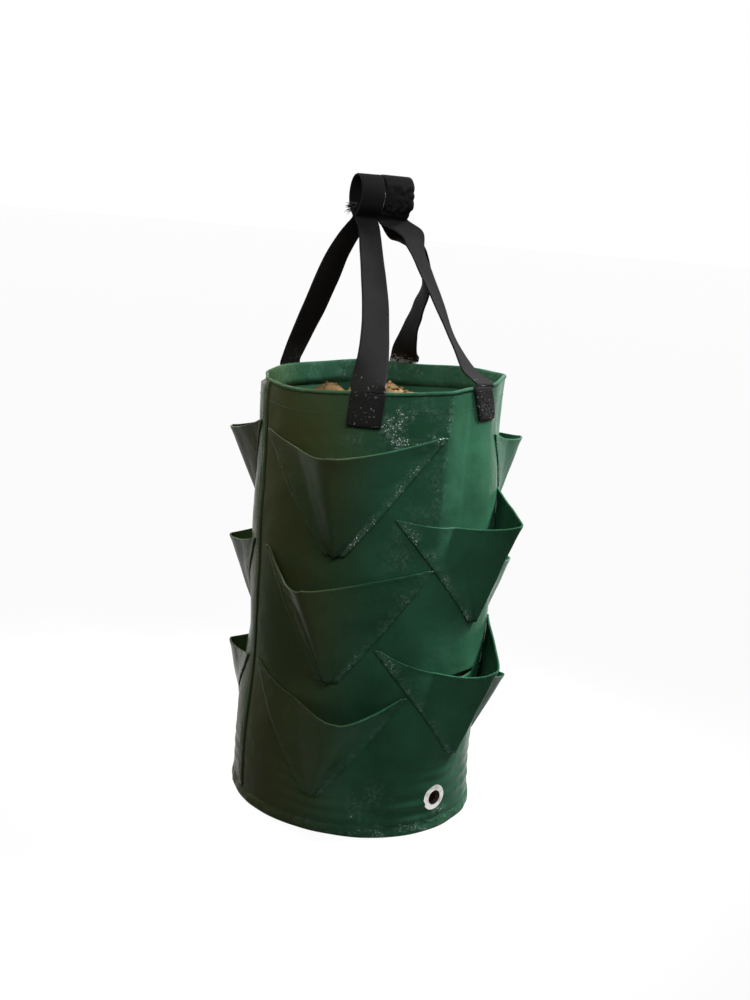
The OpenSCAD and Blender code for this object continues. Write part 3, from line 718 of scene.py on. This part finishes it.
black_webbing = webbing("black_webbing", (0.009, 0.009, 0.0094), (0.0215, 0.0215, 0.0223), specks=0.4)


# Strap ends
# Each end of webbing hangs down the outside of the wall from the rim, where the handle rises from it. It is sewn
# through the wall with a box and a cross in black thread.
strap_ends = {"front_left": -28.5, "front_right": 29.0, "back_right": 152.0, "back_left": -145.0}
slants = {"front_left": (0.0, -1.0), "front_right": (-1.0, 8.0), "back_right": (0.0, 2.0), "back_left": (0.0, -2.0)}
anchor_h, box_inset, off_cloth = 0.0255, 0.003, 0.0012


def on_end(name, off, up):
    """The azimuth of a point on a slanting strap end, from its offset across and its share of the way up."""
    start, shift = slants[name]
    across = np.degrees(off / strap_r) * (1 + 0.02 * abs(shift) * (1 - up))
    return strap_ends[name] + start + shift * (1 - up) + across


for name, end_az in strap_ends.items():
    rows = np.linspace(0, 1, 26)[:, None]
    u = np.linspace(-1, 1, 15)[None, :]
    end_at = on_end(name, u * strap_w / 2, rows)
    end_z = rim_z(end_az) - anchor_h * (1 - rows) + 0 * u
    lift = off_cloth + 0.0003 * rumple(around(end_at, bag_r, end_z), 0.009, 71 + end_az)
    flat_end = 1 - 0.5 * np.abs(u) ** 10 - 0.5 * hump(rows, 0.03)
    face = skin(end_at, end_z, lift + strap_t / 2 * flat_end)
    back = skin(end_at, end_z, 0.0003)
    piece = two_sided(name + "_strap_end_webbing", face, back, [black_webbing],
                      stacked(u * strap_w / 2, end_z, end_az), np.full(end_z.shape, 0.75))
    dress(piece, "bag", "webbing", name + "_strap_end")
    w, low, high = strap_w / 2 - box_inset, box_inset / anchor_h, 1 - box_inset / anchor_h
    corners = [(-w, low), (w, low), (w, high), (-w, high)]
    lines = []
    for a, b in ((0, 1), (1, 2), (2, 3), (3, 0), (0, 2), (1, 3)):
        off, up = (np.linspace(corners[a][c], corners[b][c], 30) for c in (0, 1))
        at, line_z = on_end(name, off, up), rim_z(end_az) - anchor_h * (1 - up)
        lines.append((skin(at, line_z, off_cloth + strap_t / 2 + thread_lift), outward(at)))
    dress(sewn(name + "_box_stitches", lines, thread_black, 0.0031), "bag", "thread", name + "_strap_stitching")

# Handles
# Two straps, each sewn to the front and the back, are drawn together over the bar that the bag hangs from.
# Each climbs from the rim, passes round the bar as an eye, and comes down at the back.
eye_r, eye_rise, eye_split_x, eye_gap = 0.014, 0.1385, -0.017, 0.0006
eye_mid_r, eye_close = eye_r + strap_t / 2, 146
left_eye_x = eye_split_x - eye_gap / 2 - strap_w / 2
right_eye_x = eye_split_x + eye_gap / 2 + strap_w / 2
neck_gap, neck_drop, foot_lean, foot_rise, foot_rows, rim_gap = 0.003, 0.0028, 0.45, 0.005, 10, 0.0002
slack_h = 0.0005
routes = {  # shares of the way along X, from the middle plane and downwards, and the webbing's turn
    "front_left": [(0.01, 0.07, 0.065, 3), (0.09, 0.235, 0.22, 10), (0.2, 0.49, 0.47, 17), (0.4, 0.69, 0.665, 20),
                   (0.7, 0.87, 0.83, 6)],
    "back_left": [(0.1, 0.1, 0.055, 2), (0.205, 0.215, 0.12, 4), (0.37, 0.355, 0.245, 8), (0.5, 0.49, 0.395, 13),
                  (0.67, 0.67, 0.6, 20), (0.86, 0.86, 0.81, 29)],
    "front_right": [(0.06, 0.07, 0.07, 8), (0.19, 0.21, 0.19, 40), (0.3, 0.3, 0.31, 45),
                    (0.465, 0.442, 0.515, 52), (0.626, 0.6, 0.72, 61), (0.83, 0.81, 0.895, 44)],
    "back_right": [(0.06, 0.08, 0.075, -6), (0.505, 0.204, 0.175, -79), (0.761, 0.326, 0.31, -93),
                   (0.893, 0.465, 0.45, -100), (0.914, 0.629, 0.595, -92),
                   (0.916, 0.748, 0.72, -87), (0.947, 0.891, 0.875, -66)]}


def foot_point(az, up):
    """The strap's middle so far above the rim, as a leg at the back or the front, and its turn there."""
    x, y, _ = around(az, strap_r, 0.0)
    turn = az if abs(az) < 90 else az - 180 if az > 0 else az + 180
    return (x, abs(y) - up * foot_lean, up + flat_rim_z(az) - bag_h, turn)


def leg_path(side, x, az, route, steps=9):
    """The strap's middle from the eye to the rim, and its turn, on a smooth curve through the route."""
    neck, foot = (x, neck_gap, eye_rise - eye_mid_r - neck_drop), foot_point(az, rim_gap)
    eye_points = [(x, eye_mid_r * math.sin(math.radians(a)), eye_rise + eye_mid_r * math.cos(math.radians(a)), 0)
                  for a in (eye_close - 20, eye_close)]
    places = [tuple(neck[c] + (foot[c] - neck[c]) * q[c] for c in range(3)) + (q[3],) for q in route]
    feet = [foot_point(az, up) for up in (foot_rise, rim_gap, -foot_rise)]
    points = np.array(eye_points + [(*neck, 0)] + places + feet)
    path = []
    for a, b, c, d in zip(points, points[1:], points[2:], points[3:]):
        for t in np.arange(steps) / steps:
            path.append(0.5 * (2 * b + (c - a) * t + (2 * a - 5 * b + 4 * c - d) * t ** 2
                               + (3 * b - a - 3 * c + d) * t ** 3))
    path = np.array(path + [points[-2]])
    path[:, 1] *= side
    path[:, 2] += bag_h
    return path


def eye_angle(path):
    """How far round the eye each point is, from its top: the front is negative."""
    return np.degrees(np.arctan2(path[:, 1], path[:, 2] - bag_h - eye_rise))


def handle(name, x, front_az, back_az, front_route, back_route, crush, drawn_in=(0.0, 0.0, 0.0), twist=0.0):
    """One whole strap, from the front rim over the eye to the back."""
    front = leg_path(-1, x, front_az, front_route)[::-1]
    back = leg_path(1, x, back_az, back_route)
    over = np.radians(np.linspace(-eye_close, eye_close, 59))[1:-1]
    eye = stacked(x, eye_mid_r * np.sin(over), bag_h + eye_rise + eye_mid_r * np.cos(over), 0)
    path = np.concatenate([front, eye, back])
    from_foot = run_along(path[:, :3])
    path[:, :3] += np.array(drawn_in) * hump(from_foot, 0.03)[:, None]
    path[:, 3] += twist * hump(from_foot - 0.011, 0.009)
    middle, turn = path[:, :3], np.radians(path[:, 3])
    along = unit(np.gradient(middle, axis=0))
    across = stacked(np.cos(turn), np.sin(turn), 0)
    across = unit(across - along * (across * along).sum(1)[:, None])
    out = np.cross(across, along)
    u = np.linspace(-1, 1, 25)[None, :]
    edge = 1 - 0.45 * np.abs(u) ** 14 + 0.14 * hump(np.abs(u) - 0.9, 0.06)
    centre = middle[:, None] + across[:, None] * (u * strap_w / 2)[..., None]
    n = len(front)
    on_eye = np.zeros(len(path))
    on_eye[n - 4:n + len(eye) + 4] = 1
    centre = crush(centre, out[:, None], across[:, None], u, path)
    for row, az, side in ((0, front_az, 1), (len(path) - 1, back_az, -1)):
        foot_at = az + side * np.degrees(u[0] * strap_w / 2 / strap_r)
        for k in range(foot_rows):
            i = row + side * k
            height = middle[i, 2] - middle[row, 2]
            wall_line = around(foot_at, wall_r(foot_at, rim_z(foot_at)) + off_cloth - height * foot_lean * 0.9,
                               rim_z(foot_at) + rim_gap + height)
            centre[i] += (wall_line - centre[i]) * step(1 - k / (foot_rows - 1), 0, 1)
    half = (strap_t / 2 * edge)[..., None] * faces_out(centre)
    run = run_along(middle)
    feet = hump(run - run[0], 0.02) + hump(run[-1] - run, 0.02)
    # Painted highlight: the left strap's selvedge over the eye is made pale as a line of light. Painted sheen: the
    # right strap is made paler over its last few millimetres at the back foot.
    if x == left_eye_x:
        angle = -eye_angle(path)
        painted_shine = 3 * (on_eye * step(angle, 72, 84) * step(angle, 150, 138))[:, None] * (u > 0.94)
    else:
        painted_shine = 1.4 * hump(run[-1] - run, 0.007)[:, None]
    crease = np.clip(0.12 + 0.5 * feet[:, None] + 0 * u, 0, 1) + painted_shine
    return two_sided(name, centre + half, centre - half, [black_webbing],
                     stacked(u * strap_w / 2, run[:, None], x), crease)


def gathered(path, u, across, eye_width, eye_shift, neck_width, neck_shift, reach):
    """How far each point moves as the webbing is drawn together, and how much it belongs to the eye."""
    below = np.maximum(0, bag_h + eye_rise - eye_mid_r - neck_drop - path[:, 2])
    on_eye = hump(below, 0.006)
    width = 1 - (1 - eye_width) * on_eye - (1 - neck_width) * (1 - on_eye) * hump(below, reach)
    shift = eye_shift * hump(below, 0.005) + neck_shift * hump(below - 0.009, 0.008)
    moved = across * ((width[:, None] - 1) * u * strap_w / 2)[..., None]
    return moved + shift[:, None, None] * np.array([1.0, 0, 0]), on_eye


def smooth_half(centre, out, across, u, path):
    """The left strap is drawn narrower over the bar, and its legs curl into a shallow trough."""
    moved, eye = gathered(path, u, across, 0.75, -0.0007, 0.7, 0.0, 0.045)
    cup = (0.0006 + 0.0014 * hump(path[:, 2] - bag_h - 0.11, 0.03)) * (1 - eye)
    slack = slack_h * rumple(centre, 0.02, 81)
    return centre + moved + out * (cup[:, None] * (u * u - 0.33) + slack)[..., None]


def crumpled_half(centre, out, across, u, path):
    """The right strap keeps a smooth band over the bar, and is crumpled below it at the front."""
    moved, eye = gathered(path, u, across, 0.92, -0.0063, 0.88, 0.006, 0.03)
    below_band = step(-eye_angle(path), 58, 72)
    low_front = (eye * below_band * step(-eye_angle(path), 158, 140))[:, None]
    crumple = low_front * (0.0044 * np.abs(rumple(centre * (1, 1, 0.8), 0.005, 91)) - 0.0022)
    band = 0.0006 * (eye * (1 - below_band))[:, None]
    cup = 0.0009 * (u * u - 0.33) * (1 - eye)[:, None]
    slack = slack_h * rumple(centre, 0.02, 83) * (1 - eye)[:, None]
    return centre + moved + out * (crumple + band + cup + slack)[..., None]


left = handle("left_handle_webbing", left_eye_x, strap_ends["front_left"], strap_ends["back_left"],
              routes["front_left"], routes["back_left"], smooth_half)
dress(left, "left_strap", "webbing", "left_handle")
right = handle("right_handle_webbing", right_eye_x, strap_ends["front_right"], strap_ends["back_right"],
               routes["front_right"], routes["back_right"], crumpled_half, drawn_in=(-0.0045, 0.0035, 0.0),
               twist=12.0)
dress(right, "right_strap", "webbing", "right_handle")

# Frayed end
# The cut edge of the webbing stands out at the left of the eye as a tuft of loose yarns, which have come out of
# the weave and curl.
draw = np.random.default_rng(7)
yarn_count, yarn_r, yarn_lengths, yarn_steps, yarn_sides, cut_angle = 34, 0.00065, (0.004, 0.010), 6, 5, 128
yarns, yarn_faces = [], []
for n in range(yarn_count):
    a = math.radians(cut_angle + draw.uniform(-9, 9))
    root = np.array([left_eye_x - strap_w / 2 + 0.0006, -eye_mid_r * math.sin(a),
                     bag_h + eye_rise + eye_mid_r * math.cos(a)])
    length = draw.uniform(*yarn_lengths)
    heading = unit(np.array([-1, draw.uniform(-0.5, 0.35), draw.uniform(-0.7, 0.25)]))
    curl = np.array([0, draw.uniform(-0.4, 0.4), draw.uniform(-0.5, 0.3)])
    first = len(yarns)
    for t in np.linspace(0, 1, yarn_steps):
        for b in np.radians(np.arange(0, 360, 360 / yarn_sides)):
            ring = np.array([0.2 * math.cos(b), math.cos(b), math.sin(b)])
            yarns.append(root + length * (heading * t + curl * t * t * 0.5) + ring * yarn_r * (1 - 0.75 * t))
    last = first + yarn_sides * (yarn_steps - 1)
    for i in range(first, last, yarn_sides):
        for k in range(yarn_sides):
            j = (k + 1) % yarn_sides
            yarn_faces.append((i + k, i + j, i + yarn_sides + j, i + yarn_sides + k))
    yarn_faces.append(list(range(first + yarn_sides - 1, first - 1, -1)))
    yarn_faces.append(list(range(last, last + yarn_sides)))
frayed = keep_piece("frayed_yarns", yarns, yarn_faces, [thread_black])
dress(frayed, "left_strap", "webbing", "frayed_webbing_end")

# Eyelets
# Two-part nickel-plated brass eyelets let the water out. They are pressed through the wall near the foot, each
# with a washer inside, and keep the part's own shapes.
nickel, shader, start = new_material("nickel_plate", Metallic=1.0)
tarnish, scratch = start.add("NewGeometry").noise(260.0, 4.0), start.add("NewGeometry").noise(1500.0, 2.0)
connect(shader, Base_Color=tarnish.ramp(0.35, 0.7).colours((0.62, 0.61, 0.6), (0.4, 0.39, 0.37)),
        Roughness=(tarnish * 0.25 + 0.16).limited(), Normal=scratch.bump(0.3, 0.0003))
for name in ("front_drain_eyelet", "front_eyelet_washer", "back_drain_eyelet", "back_eyelet_washer"):
    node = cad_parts[name]
    node.data.materials.clear()
    node.data.materials.append(nickel)

# Growing medium
# Coir and bark: a loose brown filling, which holds the tube round, with lumps and chips on top that show over
# the rim.
coir, shader, start = new_material("coir", Specular_IOR_Level=0.15)
grain, patch = start.add("NewGeometry").noise(700.0, 5.0, 0.65), start.add("NewGeometry").noise(70.0, 3.0)
brown = grain.ramp(0.3, 0.7) * 0.6 + patch.ramp(0.35, 0.65) * 0.4
connect(shader, Base_Color=brown.colours((0.045, 0.025, 0.011), (0.27, 0.165, 0.066)), Roughness=grain * 0.2 + 0.75,
        Normal=grain.bump(1.0, 0.0015))

fill_z, clump_h, clump_round, fill_gap = bag_h - 0.026, 0.011, 1.9, 0.0012
recess_depth, recess_from, recess_to = 0.0062, 0.0105, 0.0125
clumps = [  # azimuth, share of the way out and height, as in the part
    (-150, 0.8, 1), (-128, 0.48, 0.7), (-165, 1, 0.8), (176, 0.84, 0.9), (158, 1, 1), (140, 0.73, 0.75),
    (120, 0.95, 0.7), (95, 0.73, 0.6), (70, 0.48, 0.75), (40, 0.76, 0.55), (5, 0.36, 0.7), (-20, 0.72, 0.6),
    (-60, 0.58, 0.7), (-90, 0.9, 0.8), (-112, 0.96, 0.65), (180, 0.24, 0.8)]
fill_az = np.arange(0, 360, 2.0)[None, :]
side_z = np.concatenate([[0.0015], np.linspace(0.004, 0.064, 31), np.linspace(0.07, fill_z - 0.004, 28)])[:, None]
side_r = wall_r(fill_az, side_z) - wall_t - fill_gap
for hole_az in eyelet_azimuths:
    off = np.hypot(np.radians(turned(fill_az - hole_az)) * bag_r, side_z - eyelet_z)
    side_r = side_r - recess_depth * (1 - step(off, recess_from, recess_to))
top_share = np.linspace(1, 0.02, 46)[:, None]
rim_r = side_r[-1][None, :]
top = around(fill_az, rim_r * top_share, fill_z - 0.002)
rise = np.zeros(top.shape[:2])
for c_az, share, tall in clumps:
    high = clump_h * tall
    ball = clump_round * high
    off = np.linalg.norm((top - around(c_az, share * (bag_r - 0.00125 - ball), 0.0))[..., :2], axis=2)
    rise = np.maximum(rise, high - ball + np.sqrt(np.maximum(ball ** 2 - off ** 2, 0)))
rise = rise + 0.0012 * rumple(top, 0.013, 101) + 0.0009 * rumple(top, 0.005, 103)
top[..., 2] += 0.001 + rise * step(1 - top_share, -0.01, 0.03)
sheet = np.concatenate([around(fill_az, side_r, side_z), top])
rows, columns = sheet.shape[:2]
quads = grid_faces(rows, columns, columns).reshape(-1, 4).tolist()
caps = [list(range(columns - 1, -1, -1)), list(range((rows - 1) * columns, rows * columns))]
fill = keep_piece("coir_filling", sheet.reshape(-1, 3), quads + caps, [coir])
dress(fill, "bag", "growing_medium", "growing_medium")

chips, chip_faces = [], []
chip_count, chip_sizes, spread_r = 420, (0.0009, 0.0032), 0.0935
for n in range(chip_count):
    c_az, share = draw.uniform(0, 360), math.sqrt(draw.uniform(0, 0.93))
    spot = around(c_az, share * spread_r, fill_z - 0.001)
    near = int(round(c_az / 2)) % columns
    ring = int(np.argmin(np.abs(top_share[:, 0] - share * spread_r / rim_r[0, near])))
    spot[2] = top[ring, near, 2] + 0.0003
    size = draw.uniform(*chip_sizes)
    axes = np.linalg.qr(draw.normal(size=(3, 3)))[0] * size
    axes = axes * np.array([1.0, draw.uniform(0.5, 0.9), draw.uniform(0.25, 0.6)])
    first = len(chips)
    for a in np.radians(np.arange(0, 360, 60)):
        for level in (-1, 0, 1):
            wide = (0.65 if level else 1.0) * draw.uniform(0.8, 1.15)
            chips.append(spot + axes[:, 0] * math.cos(a) * wide + axes[:, 1] * math.sin(a) * wide
                         + axes[:, 2] * level * draw.uniform(0.8, 1.1))
    for a in range(0, 18, 3):
        b = (a + 3) % 18
        chip_faces.extend((k + a, k + b, k + b + 1, k + a + 1) for k in (first, first + 1))
    chip_faces.append(list(range(first + 15, first - 1, -3)))
    chip_faces.append(list(range(first + 2, first + 18, 3)))
loose = keep_piece("coir_chips", chips, chip_faces, [coir], smooth=False)
dress(loose, "bag", "growing_medium")

# Studio
# A plain white floor, which keeps a soft shadow, and a pale room. Five round soft lamps: the key at the right, a
# front and a warm left lamp above, a fill on the straps, and one behind.
room_light = 0.1
world = bpy.data.worlds.new("room")
scene.world = world
world.use_nodes = True
start = Signal(world.node_tree)
seen_by_camera, in_gloss, through_glass = [
    start.add("LightPath", (), (), ray) for ray in ("Is Camera Ray", "Is Glossy Ray", "Is Transmission Ray")]
seen = start.sum_of("MAXIMUM", seen_by_camera, start.sum_of("MAXIMUM", in_gloss, through_glass))
room = world.node_tree.nodes["Background"]
room.inputs["Color"].default_value = (1, 1, 1, 1)
world.node_tree.links.new((seen * (1 - room_light) + room_light).socket, room.inputs["Strength"])

floor_material, _, start = new_material("floor", Base_Color=(0.3, 0.3, 0.3, 1), Roughness=0.9)
seen = start.sum_of("MAXIMUM", *(start.add("LightPath", (), (), ray) for ray in ("Is Camera Ray", "Is Glossy Ray")))
glow = start.add("Emission", (), {"Color": (1, 1, 1, 1), "Strength": 1.55})
mix_in(floor_material, seen * 0.6, glow)
bpy.ops.mesh.primitive_plane_add(size=60, location=(0, 0, -0.0004))
floor = bpy.context.object
floor.name = "floor"
floor.data.materials.append(floor_material)


def lamp(name, place, target, size, power, spread, colour=(1, 1, 1)):
    """A round lamp at a place, turned to a target, whose light spreads over so many degrees."""
    data = bpy.data.lights.new(name, "AREA")
    data.spread = math.radians(spread)
    data.shape, data.size, data.energy, data.color = "DISK", size, power, colour
    light = bpy.data.objects.new(name, data)
    light.location = place
    light.rotation_euler = (Vector(target) - Vector(place)).to_track_quat("-Z", "Y").to_euler()
    light.visible_camera = False
    scene.collection.objects.link(light)


lamp("key", (0.68, -0.03, 0.95), (0.06, -0.03, 0.24), size=0.35, power=1.75, spread=36)
lamp("warm", (-0.42, -0.25, 0.72), (-0.09, -0.03, 0.34), size=0.25, power=0.12, spread=50, colour=(1.0, 0.9, 0.7))
lamp("front", (0.1, -0.75, 1.1), (0.01, -0.1, 0.36), size=0.3, power=0.27, spread=32)
lamp("fill", (-0.6, -0.95, 0.9), (-0.02, 0, 0.46), size=0.25, power=0.085, spread=24)
lamp("back", (-0.35, 0.75, 0.9), (0, 0.05, 0.22), size=0.4, power=1.1, spread=44)

scene.view_settings.view_transform = "Standard"
